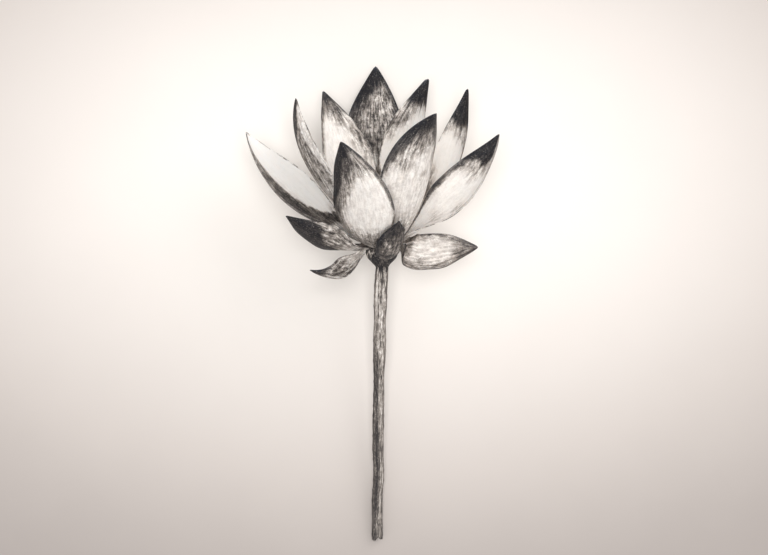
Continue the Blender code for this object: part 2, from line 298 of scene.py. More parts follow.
def stem_surface():
    """The stalk: rings of points along a Bezier spine, then along the axis up to the top of the bulb.

    Its radius swells and narrows along its length, with fine ribs that drift round it. At the cut end each
    ring is drawn back by the torn rim's outline, an offset that dies away up the stalk, and inside the rim a
    rough face dips at every air canal.
    """
    joint = BASE + BULB_PROFILE[0][0] * UP
    reach = np.linalg.norm(joint - STEM_END)
    end_way = np.array([0.0, math.cos(STEM_END_SLOPE), math.sin(STEM_END_SLOPE)])
    share = np.linspace(0, 1, STEM_ROWS)
    spine, along = bezier([STEM_END, STEM_END + reach / 3 * end_way, joint - reach / 3 * UP, joint], share)
    stalk_radius = smooth_through(STALK_RADII, share)
    spine[:, 0] -= STALK_BOW * (1 - share**9) - STALK_KINK * np.exp(-((share - 0.25) / 0.07)**2)
    spine[:, 2] -= (STEM_RADIUS - stalk_radius) * (1 - share)
    height = np.linspace(BULB_PROFILE[0][0], BULB_PROFILE[-1][0], BULB_ROWS)[1:]
    spine = np.vstack([spine, BASE + height[:, None] * UP])
    along = np.vstack([along, np.tile(UP, (len(height), 1))])
    distance = np.concatenate([share * reach, reach + height - height[0]])
    radius = np.concatenate([stalk_radius, smooth_through(BULB_PROFILE, height)])[:, None]
    turn = (np.arange(STEM_COLUMNS) * math.tau / STEM_COLUMNS)[None]
    run = distance[:, None]
    swell = 0.1 * np.sin(run / 5.3 + turn) * np.sin(run / 23) + 0.08 * np.sin(run / 2.9 - 2 * turn)
    ribs = 0.09 * np.cos(11 * turn + 0.6 * np.sin(run / 17)) + 0.06 * np.cos(23 * turn - run / 19)
    knots = 0.22 * np.maximum(0, np.sin(run / 1.9 + 3 * turn) * np.sin(run / 2.7 - 5 * turn))**3
    folds = 0.2 * np.clip((radius - 4.4) / 3, 0, 1) * np.cos(13 * turn + 0.5 * np.sin(run))
    radius = radius + swell + ribs + knots + folds
    rim = smooth_through(TORN_RIM, turn)
    rim = rim + 0.35 * np.sin(9 * turn) * np.sin(4 * turn) + 0.2 * np.sin(29 * turn)
    back = np.maximum(rim, 0) * np.exp(-run / RIM_REACH)
    across = np.cross(along, FRONT)
    across /= np.linalg.norm(across, axis=1, keepdims=True)
    front = np.cross(across, along)
    circle = across[:, None] * np.cos(turn)[..., None] + front[:, None] * np.sin(turn)[..., None]
    side = spine[:, None] + radius[..., None] * circle + back[..., None] * along[:, None]
    inward = np.linspace(0.9, 0, CUT_FACE_ROWS)[:, None]
    x = inward * radius[:1] * np.cos(turn)
    y = inward * radius[:1] * np.sin(turn)
    sink = CUT_FACE_DEPTH - 1.1 * x + 0.3 * np.sin(2.3 * x) * np.sin(1.9 * y)
    for far, bearing in CANALS:
        away = np.hypot(x - far * math.cos(bearing), y - far * math.sin(bearing))
        sink = sink + CANAL_DEPTH * np.clip((CANAL_RADIUS - away) / 0.16, 0, 1)
    sink = np.maximum(sink, 0.4) * (1 - inward**8) + (back[:1] + 0.3) * inward**8
    face = spine[0] + x[..., None] * across[0] + y[..., None] * front[0] + sink[..., None] * along[0]
    top = spine[-1] + 0 * side[-1:]
    points = np.vstack([face[::-1], side, top])
    rows = np.concatenate([np.zeros(len(face)), distance / distance[-1], [1.0]])
    uv = np.stack(np.broadcast_arrays(turn / math.tau, rows[:, None]), axis=-1)
    return points, uv


STALK_TOP = 0.909            # where the stalk ends and the bulb begins, as a share of their whole length
STALK_WASHES = [
    beyond(-1, [(0.0, 0.1), (0.34, 0.2), (0.5, 0.0), (0.63, -0.1), (0.68, -0.9), (0.7, -1.5)], 0.5, 0.5),
    beyond(1, [(0.0, 0.1), (0.34, 0.2), (0.6, 0.4), (0.64, 1.5)], 0.4, 0.2),
    blot(-0.2, 0.4, 0.2, 0.05, 0.6), blot(-0.25, 0.28, 0.24, 0.07, 0.75), blot(-0.3, 0.16, 0.24, 0.06, 0.6),
    blot(-0.45, 0.06, 0.16, 0.06, 0.6), blot(-0.3, 0.5, 0.2, 0.05, 0.5), blot(0.2, 0.2, 0.1, 0.1, 0.4),
    beyond(-1, [(0.66, -0.85), (0.92, -0.8)], 0.2, 0.4),
    beyond(1, [(0.0, 0.9), (0.66, 0.86), (0.92, 0.8)], 0.2, 0.3),
    blot(0.12, 0.88, 0.13, 0.03, 0.75), blot(0.05, 0.82, 0.16, 0.03, 0.4),
    blot(-0.35, 0.72, 0.16, 0.02, 0.5),
    blot(0.1, 0.69, 0.14, 0.008, 0.5), blot(0.25, 0.652, 0.13, 0.012, 0.5),
    blot(0.7, 0.65, 0.14, 0.02, 0.5),
    blot(-0.25, 0.585, 0.2, 0.022, 0.7), blot(-0.1, 0.55, 0.14, 0.02, 0.5),
    blot(0.0, 0.33, 0.24, 0.05, 0.6),
    blot(0.75, 0.44, 0.1, 0.03, 0.5), blot(0.7, 0.31, 0.12, 0.03, 0.4), blot(-0.5, 0.14, 0.24, 0.05, 0.6),
    blot(-0.55, 0.82, 0.12, 0.05, -0.9), blot(0.45, 0.82, 0.1, 0.03, -0.6),
    blot(-0.62, 0.9, 0.12, 0.014, -0.6),
    blot(0.6, 0.885, 0.14, 0.02, -0.4), blot(0.15, 0.72, 0.3, 0.03, -0.3), blot(0.5, 0.6, 0.14, 0.02, -0.5),
    blot(0.45, 0.46, 0.2, 0.05, -0.25), blot(0.4, 0.31, 0.14, 0.03, -0.2), blot(0.5, 0.15, 0.1, 0.03, -0.2),
    blot(-0.15, 0.06, 0.1, 0.03, -0.4),
    above([(-1, STALK_TOP), (-0.2, STALK_TOP - 0.004), (0.1, STALK_TOP - 0.01), (0.3, STALK_TOP),
           (1, STALK_TOP)], 0.012, 0.97),
    blot(-0.1, 0.945, 0.18, 0.006, -0.4), blot(0.25, 0.94, 0.16, 0.005, -0.4),
    blot(-0.8, 0.966, 0.2, 0.006, -0.9),
    blot(-0.62, 0.956, 0.12, 0.004, -0.85), blot(-0.45, 0.962, 0.1, 0.003, -0.7),
    blot(1.0, 0.015, 0.25, 0.025, 0.7), blot(-0.2, 0.01, 0.6, 0.02, 0.5),
]


def stalk_finish():
    """Grey skin with long dark fibres and bare slivers between them, and a near-black bulb."""
    material, shader, blank = new_finish("stalk", 0.62)
    plan = blank.node("ShaderNodeUVMap", {"uv_map": "plan"})
    turn, run = plan.split("X") * math.tau, plan.split("Y")
    around, beside = turn.math("COSINE"), turn.math("SINE")
    fibre = blank.noise(blank.place(around * 4.2, beside * 4.2, run * 24), detail=5, roughness=0.68)
    mottle = blank.noise(blank.place(around * 3, beside * 3, run * 60 + 7), detail=3)
    grain = blank.noise(blank.place(around * 9, beside * 9, run * 170), detail=2)
    charcoal(shader, fibre, mottle, grain)
    relief(shader, fibre * 0.7 + grain * 0.3, 0.3)
    return material


stem_points, stem_uv = stem_surface()
stem_ink = lay_washes(np.cos(stem_uv[..., 0] * math.tau), stem_uv[..., 1], 0.44, STALK_WASHES)
add_piece("stalk_and_bulb", stem_points, stem_uv, stem_ink, stalk_finish(), ["stem"])

# ----------------------------------------------------------------------------------------------------
# Seed head. A spongy upturned cone with a flat pitted top, on the end of the bulb.

HEAD_SIDE = [(13.7, 6.2), (16, 6.9), (20, 8.0), (25, 9.9), (29, 11.7), (31, 12.4)]
HEAD_TOP = 32.0
HEAD_COLUMNS = 180
HEAD_SIDE_ROWS = 50
HEAD_TOP_ROWS = 90
PIT_RADIUS = 1.7
PIT_DEPTH = 2.6
CARPEL_RINGS = [(1, 0.0, 0), (5, 4.3, 20), (9, 8.4, 0)]      # (count, ring radius, first bearing)

carpel_places = [(ring * math.sin(math.radians(first) + index * math.tau / count),
                  ring * math.cos(math.radians(first) + index * math.tau / count))
                 for count, ring, first in CARPEL_RINGS for index in range(count)]


def seed_head_surface():
    """The cone turned from its side profile, closed below, and above it a disc that dips at each pit.

    A pit's depth is a steep smooth step of the distance from its middle, with a low rounded lip round it.
    """
    turn = (np.arange(HEAD_COLUMNS) * math.tau / HEAD_COLUMNS)[None]
    height = np.linspace(HEAD_SIDE[0][0], HEAD_SIDE[-1][0], HEAD_SIDE_ROWS)
    flute = 1 + 0.018 * np.cos(24 * turn) * np.linspace(0.2, 1, HEAD_SIDE_ROWS)[:, None]
    radius = smooth_through(HEAD_SIDE, height)[:, None] * flute
    inward = np.linspace(0, 1, HEAD_TOP_ROWS)[:, None]
    edge = radius[-1:]
    far = edge * np.cos(inward * math.pi / 2)**0.75
    x, y = far * np.sin(turn), far * np.cos(turn)
    level = HEAD_SIDE[-1][0] + (HEAD_TOP - HEAD_SIDE[-1][0]) * np.clip(inward * 9, 0, 1)**0.5
    level = level + 0 * turn
    for right, front in carpel_places:
        away = np.hypot(x - right, y - front)
        level = level + 0.4 * np.exp(-((away - PIT_RADIUS - 0.25) / 0.4)**2)
        level = level - PIT_DEPTH * np.clip((PIT_RADIUS - away) / 0.3 + 0.4, 0, 1)
    side = to_world(radius * np.sin(turn), radius * np.cos(turn), height[:, None] + 0 * turn)
    top = to_world(x, y, level)
    foot = to_world(0 * turn, 0 * turn, height[:1, None] + 0 * turn)
    points = np.vstack([foot, side, top[1:]])
    rows = np.linspace(0, 1, len(points))
    uv = np.stack(np.broadcast_arrays(turn / math.tau, rows[:, None]), axis=-1)
    return points, uv


def seed_head_finish():
    """Pale spongy tissue, greyer down the cone and stippled all over."""
    material, shader, blank = new_finish("seed_head_skin", 0.7)
    place = blank.node("ShaderNodeTexCoord", output="Object")
    grain = blank.noise(place, 1500, 3)
    charcoal(shader, blank.noise(place, 700, 3), blank.noise(place, 300, 3), grain)
    relief(shader, grain, 0.2)
    return material


head_points, head_uv = seed_head_surface()
head_ink = lay_washes(head_uv[..., 0], head_uv[..., 1], 0.22, [below([(0, 0.3), (1, 0.3)], 0.3, 0.35)])
add_piece("seed_head_cone", head_points, head_uv, head_ink, seed_head_finish(), ["seed_head"])

# ----------------------------------------------------------------------------------------------------
# Carpels. One small ovary loose in each pit, with a short neck and a dark dished stigma.

CARPEL_PROFILE = [(0.0, 0.02), (0.05, 0.5), (0.22, 1.1), (0.45, 1.33), (0.66, 1.15), (0.8, 0.62),
                  (0.86, 0.55), (0.93, 0.85), (0.985, 0.72), (1.0, 0.02)]      # (share of its height, radius)
CARPEL_HEIGHT = 3.9
CARPEL_ROWS = 36
CARPEL_COLUMNS = 28
PIT_GAP = 0.3                     # the carpel stands this far off the floor of its pit
CARPEL_FOOT = HEAD_TOP - PIT_DEPTH + PIT_GAP


def carpel_surface(right, front):
    """The carpel's profile turned round its own line, which stands parallel to the flower's axis."""
    share = np.linspace(0, 1, CARPEL_ROWS)
    turn = (np.arange(CARPEL_COLUMNS) * math.tau / CARPEL_COLUMNS)[None]
    radius = np.maximum(smooth_through(CARPEL_PROFILE, share), 0.0)[:, None]
    radius[[0, -1]] = 0
    points = to_world(right + radius * np.sin(turn), front + radius * np.cos(turn),
                      CARPEL_FOOT + CARPEL_HEIGHT * share[:, None] + 0 * turn)
    uv = np.stack(np.broadcast_arrays(turn / math.tau, share[:, None]), axis=-1)
    return points, uv


def carpel_finish():
    """Smooth pale grey ovary, its stigma almost black."""
    material, shader, blank = new_finish("carpel_skin", 0.4)
    place = blank.node("ShaderNodeTexCoord", output="Object")
    grain = blank.noise(place, 2600, 2)
    charcoal(shader, blank.noise(place, 1200, 2), blank.noise(place, 600, 2), grain)
    relief(shader, grain, 0.06)
    return material


carpel_skin = carpel_finish()
for number, (right, front) in enumerate(carpel_places, 1):
    carpel_points, carpel_uv = carpel_surface(right, front)
    carpel_ink = lay_washes(carpel_uv[..., 0], carpel_uv[..., 1], 0.2,
                            [above([(0, 0.88), (1, 0.88)], 0.08, 0.8)])
    add_piece(f"carpel_body_{number:02d}", carpel_points, carpel_uv, carpel_ink, carpel_skin,
              [f"carpel_{number:02d}"])

# ----------------------------------------------------------------------------------------------------
# Stamens. A dense ring of fine threads round the foot of the seed head, each with a long anther and a small
# pale club at its tip, rooted in a short collar of tissue.

STAMENS = 190
STAMEN_LENGTH = 31.0
STAMEN_ROWS = 30
STAMEN_COLUMNS = 6
STAMEN_LEAN = 20                  # degrees out from the axis, give or take a few
GOLDEN_ANGLE = 2.39996            # the turn in radians from each stamen to the next
STAMEN_PROFILE = [(0.0, 0.3), (0.5, 0.2), (0.57, 0.26), (0.6, 0.5), (0.72, 0.56), (0.86, 0.46), (0.89, 0.2),
                  (0.93, 0.24), (0.97, 0.42), (1.0, 0.03)]
COLLAR = [(14.6, 7.5), (14.6, 8.5), (15.7, 8.6), (16.2, 8.0), (15.7, 7.5), (14.6, 7.5)]      # (up, radius)
COLLAR_COLUMNS = 120


def stamen_surface(count):
    """All stamens at once: thin tubes along lines that leave the collar, lean out and bow back a little."""
    rng = np.random.default_rng(7)
    bearing = (np.arange(count) * GOLDEN_ANGLE + rng.normal(0, 0.05, count))[:, None, None]
    lean = np.radians(STAMEN_LEAN + rng.normal(0, 3.2, count))[:, None, None]
    length = (STAMEN_LENGTH * (0.86 + 0.16 * rng.random(count)))[:, None, None]
    bow = rng.normal(0.9, 0.8, count)[:, None, None]
    drift = np.radians(rng.normal(0, 4, count))[:, None, None]
    root = 7.75 + 0.55 * rng.random(count)[:, None, None]
    share = np.linspace(0, 1, STAMEN_ROWS)[None, :, None]
    turn = (np.arange(STAMEN_COLUMNS) * math.tau / STAMEN_COLUMNS)[None, None]
    thick = np.maximum(smooth_through(STAMEN_PROFILE, share), 0)
    thick[:, -1] = 0
    run = length * share
    far = root + run * np.sin(lean) + bow * np.sin(math.pi * share) + thick * np.cos(turn)
    side = thick * np.sin(turn) * (1 + 0.25 * (share > 0.58))
    height = 15.4 + run * np.cos(lean)
    angle = bearing + drift * share + side / np.maximum(far, 1)
    return to_world(far * np.sin(angle), far * np.cos(angle), height + 0 * turn), share, turn


def collar_surface():
    """The collar's small outline turned round the flower's axis."""
    height, radius = np.array(COLLAR).T
    turn = (np.arange(COLLAR_COLUMNS) * math.tau / COLLAR_COLUMNS)[None]
    radius = radius[:, None]
    return to_world(radius * np.sin(turn), radius * np.cos(turn), height[:, None] + 0 * turn)


def stamen_finish():
    """Pale threads, grey speckled anthers and a dark tip to each club."""
    material, shader, blank = new_finish("stamen_skin", 0.6)
    place = blank.node("ShaderNodeTexCoord", output="Object")
    grain = blank.noise(place, 2200, 2)
    charcoal(shader, blank.noise(place, 1000, 2), blank.noise(place, 500, 2), grain)
    return material


STAMEN_WASHES = [above([(0, 0.58), (1, 0.58)], 0.04, 0.55), above([(0, 0.88), (1, 0.88)], 0.02, -0.8),
                 above([(0, 0.97), (1, 0.97)], 0.02, 0.7)]


def add_stamens():
    """One mesh of the collar and every stamen, each a tube closed by a face at its foot."""
    tubes, share, turn = stamen_surface(STAMENS)
    ring = collar_surface()
    grid = tubes.shape[:3]
    tube_index = np.arange(math.prod(grid)).reshape(grid)
    ring_index = tube_index.size + np.arange(ring[..., 0].size).reshape(ring.shape[:2])
    feet = [tuple(row) for row in tube_index[:, 0]]
    faces = np.vstack([ring_faces(tube_index), ring_faces(ring_index)]).tolist() + feet
    points = np.vstack([tubes.reshape(-1, 3), ring.reshape(-1, 3)])
    no_plan = np.zeros(ring_index.size)
    up = np.concatenate([np.broadcast_to(share, grid).ravel(), no_plan])
    around = np.concatenate([np.broadcast_to(turn / math.tau, grid).ravel(), no_plan])
    ink = lay_washes(around, up, 0.07, STAMEN_WASHES)
    add_mesh_piece("stamen_ring", points, faces, np.stack([around, up], axis=-1), ink, stamen_finish(),
                   ["stamens"])


add_stamens()

# ----------------------------------------------------------------------------------------------------
# Petals. Each is one thin cupped blade with a narrow foot on the bulb and a pointed tip. Fine veins run from
# foot to tip, the margin waves a little, and charcoal tone gathers at the tip and along the margins.

ARM = 0.36                   # length of the spine's end handles, as a share of its chord
INNER = (8.5, 13.0)          # where each whorl leaves the bulb: (radius, height)
MIDDLE = (9.5, 11.0)
OUTER = (10.5, 9.0)
LOW = (11.0, 7.0)
CALYX = (11.0, 4.5)
PETAL_ROWS = 140
PETAL_COLUMNS = 52
FOOT_REACH = -0.025          # the blade runs on past its foot into the bulb, as a share of its length
PETAL_THICKNESS = 0.85
VEINS = 11
VEIN_HEIGHT = 0.05
KEEL_DEPTH = 0.16
WAVE_HEIGHT = 0.42
SEED_STEP = 3.1               # moves each petal on to its own stretch of noise and wave


def petal_width(share, widest, claw, taper, blunt):
    """Half-width along a petal, as a share of its greatest: a claw at the foot, full at widest, then a point.

    The point is blunt by a small term that holds the width up until the very end of the tip.
    """
    rising = claw + (1 - claw) * np.sin(math.pi / 2 * np.clip(share / widest, 0, 1))**1.3
    fall = np.clip((share - widest) / (1 - widest), 0, 1)
    falling = 1 - fall**taper + blunt * (1 - fall)**0.35 * fall**14
    return np.where(share < widest, rising, falling)


def petal_surface(share, across, whorl, tip, width, widest, claw, taper, cup, open_by, close_by, roll,
                  sway=0, settle=0.45, blunt=0.12):
    """Middle surface of a petal in flower coordinates.

    The spine is a Bezier curve in the plane of the axis and the tip. It leaves the bulb open_by degrees wider
    than its chord and arrives at the tip close_by degrees steeper than it. Across the spine the petal is an
    arc of a circle that turns through twice cup degrees, moved sideways by sway. It is rolled about the spine
    by roll degrees, a turn that grows from nothing at the foot to its full size at settle. Its outline comes
    from petal_width, where blunt rounds off the tip.
    """
    right, front, up = tip
    bearing = math.atan2(right, front)
    foot = np.array(whorl)
    end = np.array([math.hypot(right, front), up])
    chord = end - foot
    lean = math.atan2(chord[0], chord[1])
    arm = ARM * np.linalg.norm(chord)
    leave = lean + math.radians(open_by)
    arrive = lean - math.radians(close_by)
    spine, along = bezier([foot, foot + arm * np.array([math.sin(leave), math.cos(leave)]),
                           end - arm * np.array([math.sin(arrive), math.cos(arrive)]), end], share)
    half = width / 2 * petal_width(share, widest, claw, taper, blunt)[:, None]
    arc = math.radians(cup)
    bend = np.maximum(half, 1e-6) / arc
    beside = bend * np.sin(arc * across[None])
    inward = bend * (1 - np.cos(arc * across[None]))
    ease = np.clip(share / settle, 0, 1)
    turn = (math.radians(roll) * ease**2 * (3 - 2 * ease))[:, None]
    shift = (sway * np.sin(math.pi / 2 * share)**2 * np.sin(math.pi * share))[:, None]
    side = beside * np.cos(turn) - inward * np.sin(turn) + shift
    depth = beside * np.sin(turn) + inward * np.cos(turn)
    radius = spine[:, :1] - along[:, 1:] * depth
    height = spine[:, 1:] + along[:, :1] * depth
    return to_world(radius * math.sin(bearing) + side * math.cos(bearing),
                    radius * math.cos(bearing) - side * math.sin(bearing), height)


def petal_body(shape, phase):
    """A closed thin blade round the middle surface: across the inner face and back across the outer one.

    Veins are low cosine ridges that run with the blade, and the margin waves as a sine that grows towards
    the edge. The thickness fades to nothing at the margin and the tip, so both faces meet in a fine edge.
    """
    share = np.linspace(FOOT_REACH, 1, PETAL_ROWS)
    spread = np.linspace(-1, 1, PETAL_COLUMNS + 1)
    across = np.sin(math.pi / 2 * spread)
    middle = petal_surface(share, across, **shape)
    normal = np.cross(np.gradient(middle, axis=1), np.gradient(middle, axis=0))
    normal /= np.maximum(np.linalg.norm(normal, axis=2, keepdims=True), 1e-12)
    run = np.clip(share, 0, 1)[:, None]
    fade = np.sin(math.pi * run)**0.5
    veins = VEIN_HEIGHT * np.cos(math.tau * VEINS * across / 2)[None] * fade
    keel = KEEL_DEPTH * np.exp(-(across / 0.07)**2)[None] * fade
    wave = WAVE_HEIGHT * np.abs(across)[None]**3 * np.sin(17 * run + phase + 2.2 * across[None]) * fade
    middle = middle + (veins - keel + wave)[..., None] * normal
    body = PETAL_THICKNESS / 2 * (0.55 + 0.6 * (1 - run)**2) * np.clip((1 - run) / 0.04, 0, 1)**0.5
    half = (body * np.cos(math.pi / 2 * spread)[None]**0.4)[..., None]
    half[0] = 0
    points = np.concatenate([middle - half * normal, (middle + half * normal)[:, -2:0:-1]], axis=1)
    side = np.concatenate([across, across[-2:0:-1]])
    uv = np.stack(np.broadcast_arrays((side[None] + 1) / 2, run), axis=-1)
    return points, uv


def petal_finish(name, half_width, long, seed, contrast):
    """Fibres that run with the veins, thin broken outlines along both margins, and fine stipple.

    A petal is thin enough for some of the light behind it to come through.
    """
    material, shader, blank = new_finish(name, 0.6, 0.15)
    shader.inputs["Subsurface Weight"].default_value = 0.5
    shader.inputs["Subsurface Radius"].default_value = (0.85, 1.0, 1.15)
    shader.inputs["Subsurface Scale"].default_value = 1.2 * MM
    plan = blank.node("ShaderNodeUVMap", {"uv_map": "plan"})
    side, run = plan.split("X") * 2 - 1, plan.split("Y")
    place = blank.node("ShaderNodeTexCoord", output="Object")
    mottle = blank.noise(place, 300, 4, 0.65)
    grain = blank.noise(place, 1300, 2)
    sideways = side * (half_width / 1.7) + mottle * 1.3
    fibre = blank.noise(blank.place(sideways, run * (long / 9), seed), detail=5, roughness=0.68)
    outline = side.math("ABSOLUTE").rise(0.93, 0.985) * fibre.rise(0.4, 0.6) * 0.45
    charcoal(shader, fibre, mottle, grain, contrast, outline)
    relief(shader, fibre * 0.6 + grain * 0.4, 0.12)
    return material


petals_made = []


def add_petal(node, name, slot, body, washes, contrast=1.5, **shape):
    """One petal or sepal: its shape, its finish and its own washes over the tone of its body. Each body tone
    is also painted light and shade: set low on petals that other petals shade, such as the left, back right
    and right back petals, and higher on open petals that face the lamps.
    """
    seed = SEED_STEP * len(petals_made)
    points, uv = petal_body(shape, seed)
    ink = lay_washes(uv[..., 0] * 2 - 1, uv[..., 1], body, washes)
    long = math.dist(points[0, 0], points[-1, 0])
    finish = petal_finish(name + "_skin", shape["width"] / 2, long, seed, contrast)
    add_piece(name, points, uv, ink, finish, [node])
    petals_made.append(name)


# Most petals take a grey wash below about a fifth of their length. This wash is painted shade where the petals
# gather onto the bulb.
add_petal("petal_inner_left", "blade_inner_left", "petal", 0.06,
          [above([(-1, 0.86), (0, 0.9), (1, 0.84)], 0.06, 0.8), above([(-1, 0.7), (1, 0.74)], 0.2, 0.3),
           below([(-1, 0.2), (1, 0.2)], 0.2, 0.3)],
          whorl=INNER, tip=(-16.5, 31, 70), width=35, widest=0.51, claw=0.18,
          taper=2, cup=39, open_by=31, close_by=25, roll=-17, sway=0.5)
add_petal("petal_inner_right", "blade_inner_right", "petal", 0.06,
          [above([(-1, 0.84), (0, 0.88), (1, 0.82)], 0.06, 0.8), above([(-1, 0.7), (1, 0.66)], 0.2, 0.3),
           below([(-1, 0.2), (1, 0.2)], 0.2, 0.3)],
          whorl=INNER, tip=(19.5, 28.5, 81), width=33, widest=0.53, claw=0.14,
          taper=2, cup=45, open_by=26, close_by=15, roll=6)
add_petal("petal_back_right", "blade_back_right", "petal", 0.03,
          [above([(-1, 0.84), (0, 0.86), (0.4, 0.85), (0.75, 0.84), (1, 0.92)], 0.06, 0.94),
           above([(-1, 0.84), (0, 0.82), (0.5, 0.8), (1, 0.84)], 0.14, 0.45),
           blot(0.62, 0.76, 0.3, 0.06, 0.5), blot(1.0, 0.74, 0.16, 0.06, 0.6),
           blot(0.85, 0.66, 0.2, 0.05, 0.3),
           below([(-1, 0.15), (1, 0.15)], 0.2, 0.3)],
          whorl=INNER, tip=(29, -36, 109.5), width=43.5, widest=0.52, claw=0.1,
          taper=1.8, cup=52, open_by=23, close_by=7, roll=-5, sway=8, blunt=0.3)
add_petal("petal_back_left", "blade_back_left", "petal", 0.08,
          [above([(-1, 0.92), (0, 0.94), (1, 0.94)], 0.05, 0.75),
           above([(-1, 0.83), (-0.5, 0.84), (0, 0.86), (0.6, 0.85), (1, 0.88)], 0.14, 0.6),
           beyond(1, [(0.4, 0.85), (0.6, 0.78), (0.8, 0.68), (0.97, 0.5)], 0.25, 0.3),
           blot(-0.85, 0.66, 0.3, 0.13, 0.42), blot(-0.45, 0.8, 0.3, 0.05, 0.3),
           blot(0.8, 0.75, 0.15, 0.1, 0.2),
           below([(-1, 0.2), (1, 0.25)], 0.2, 0.35)],
          whorl=INNER, tip=(-37, -41.5, 101), width=41, widest=0.57, claw=0.1,
          taper=1.5, cup=49, open_by=14, close_by=-1, roll=-8, sway=1)
add_petal("petal_left_back", "blade_left_back", "petal", 0.2,
          [beyond(-1, [(0.4, 1.1), (0.5, 0.86), (0.6, 0.74), (0.72, 0.6), (0.9, 0.42), (1, 0.6)], 0.09, 0.32),
           beyond(-1, [(0.64, -0.7), (0.72, -0.15), (0.8, 0.2), (0.9, 0.34), (1, 0.6)], 0.16, 0.88),
           above([(-1, 0.96), (1, 0.96)], 0.03, 0.6), blot(0.3, 0.34, 0.8, 0.08, -0.45),
           beyond(-1, [(0.2, -0.2), (0.6, -0.1), (0.7, -0.2)], 0.2, 0.3),
           below([(-1, 0.2), (1, 0.2)], 0.2, 0.4)],
          whorl=INNER, tip=(-53, -3.5, 102.5), width=39, widest=0.58, claw=0.11,
          taper=2.1, cup=38, open_by=14, close_by=35, roll=23, sway=6.5, blunt=0.25)
add_petal("petal_right_back", "blade_right_back", "petal", 0.02,
          [above([(-1, 0.8), (0, 0.79), (0.5, 0.78), (1, 0.83)], 0.05, 0.95),
           above([(-1, 0.68), (0, 0.71), (0.6, 0.75), (1, 0.72)], 0.1, 0.3),
           beyond(-1, [(0.4, -0.95), (0.6, -0.85), (0.8, -0.75)], 0.15, 0.5),
           blot(-0.6, 0.69, 0.4, 0.05, 0.2), blot(0.78, 0.39, 0.2, 0.1, 0.6),
           below([(-1, 0.2), (1, 0.25)], 0.2, 0.4)],
          whorl=MIDDLE, tip=(53.5, -24.5, 105), width=33.5, widest=0.54, claw=0.12,
          taper=1.9, cup=43, open_by=31, close_by=24, roll=9, sway=1.5, blunt=0.3)
add_petal("petal_right", "blade_right", "petal", 0.07,
          [above([(-1, 1.02), (-0.5, 0.97), (-0.35, 0.82), (0, 0.77), (0.4, 0.78), (1, 0.74)], 0.05, 0.95),
           above([(-0.4, 0.75), (0, 0.66), (0.5, 0.66), (1, 0.6)], 0.14, 0.25),
           beyond(1, [(0.2, 0.92), (0.35, 0.86), (0.45, 0.82), (0.6, 0.84), (0.75, 0.7)], 0.14, 0.65),
           blot(0.95, 0.45, 0.14, 0.1, 0.6), blot(-0.72, 0.48, 0.035, 0.17, 0.45),
           blot(-0.5, 0.45, 0.12, 0.05, 0.3),
           blot(-0.2, 0.3, 0.4, 0.06, 0.12), below([(-1, 0.12), (1, 0.1)], 0.15, 0.3)],
          whorl=MIDDLE, tip=(72, 8.5, 82), width=34, widest=0.48, claw=0.1,
          taper=2.2, cup=47, open_by=10, close_by=21, roll=47, sway=-2.5)
# This petal's bare body, and the wash below its foot that lifts its tone, are painted light on an inner face
# that the petals above it shade.
add_petal("petal_left", "blade_left", "petal", 0.0,
          [beyond(1, [(0.2, -1.2), (0.26, -0.8), (0.31, -0.45), (0.4, -0.18), (0.6, -0.05), (0.75, 0.0),
                      (0.85, 0.1), (1, 0.3)], 0.1, 0.62),
           blot(0.25, 0.45, 0.35, 0.2, 0.6), blot(-0.5, 0.26, 0.5, 0.04, 0.3),
           below([(-1, 0.2), (0, 0.22)], 0.06, -0.7),
           blot(0.6, 0.92, 0.5, 0.08, -0.3), above([(-1, 0.985), (1, 0.98)], 0.03, 0.5)],
          whorl=MIDDLE, tip=(-84, -5.5, 81), width=47, widest=0.53, claw=0.13,
          taper=2, cup=44, open_by=18, close_by=29, roll=-18, sway=3)
add_petal("petal_front_right", "blade_front_right", "petal", 0.14,
          [above([(-1, 0.84), (-0.5, 0.86), (0, 0.88), (0.5, 0.9), (1, 0.95)], 0.1, 0.96),
           above([(-1, 0.68), (-0.5, 0.73), (0, 0.76), (0.5, 0.79), (0.8, 0.8)], 0.2, 0.55),
           beyond(-1, [(0.48, -1.05), (0.6, -0.88), (0.75, -0.7), (0.9, -0.4)], 0.2, 0.75),
           beyond(1, [(0.1, 0.85), (0.4, 0.75), (0.6, 0.55), (0.8, 0.35), (0.95, 0.1)], 0.22, 0.4),
           blot(-0.5, 0.64, 0.2, 0.04, 0.3), blot(0.2, 0.55, 0.12, 0.05, 0.12),
           blot(-0.1, 0.2, 0.5, 0.09, 0.25), below([(-1, 0.14), (1, 0.14)], 0.1, 0.35)],
          whorl=MIDDLE, tip=(32.5, 47.5, 101), width=49, widest=0.53, claw=0.19,
          taper=2.2, cup=56, open_by=24, close_by=-11, roll=8, sway=1.5)
add_petal("petal_front_left", "blade_front_left", "petal", 0.11,
          [above([(-1, 0.84), (-0.4, 0.86), (0, 0.9), (0.5, 0.95), (1, 0.95)], 0.06, 0.95),
           beyond(-1, [(0.34, -1.02), (0.48, -0.83), (0.55, -0.7), (0.65, -0.48), (0.8, -0.42), (0.92, -0.25),
                       (1, 0)], 0.14, 0.95),
           beyond(-1, [(0.2, -0.9), (0.4, -0.6), (0.55, -0.35), (0.75, 0.02), (0.9, 0.3)], 0.45, 0.5),
           above([(-0.2, 0.75), (0.3, 0.77), (0.6, 0.79), (1, 0.82)], 0.16, 0.5),
           beyond(1, [(0.3, 0.97), (0.6, 0.92), (0.95, 0.8)], 0.1, 0.6),
           below([(-1, 0.4), (-0.4, 0.31), (0.3, 0.25), (1, 0.27)], 0.2, 0.5),
           blot(-0.7, 0.4, 0.3, 0.1, 0.25)],
          whorl=MIDDLE, tip=(-24.5, 51.5, 84.5), width=48, widest=0.45, claw=0.2,
          taper=2.2, cup=48, open_by=42, close_by=14, roll=-4, sway=5)
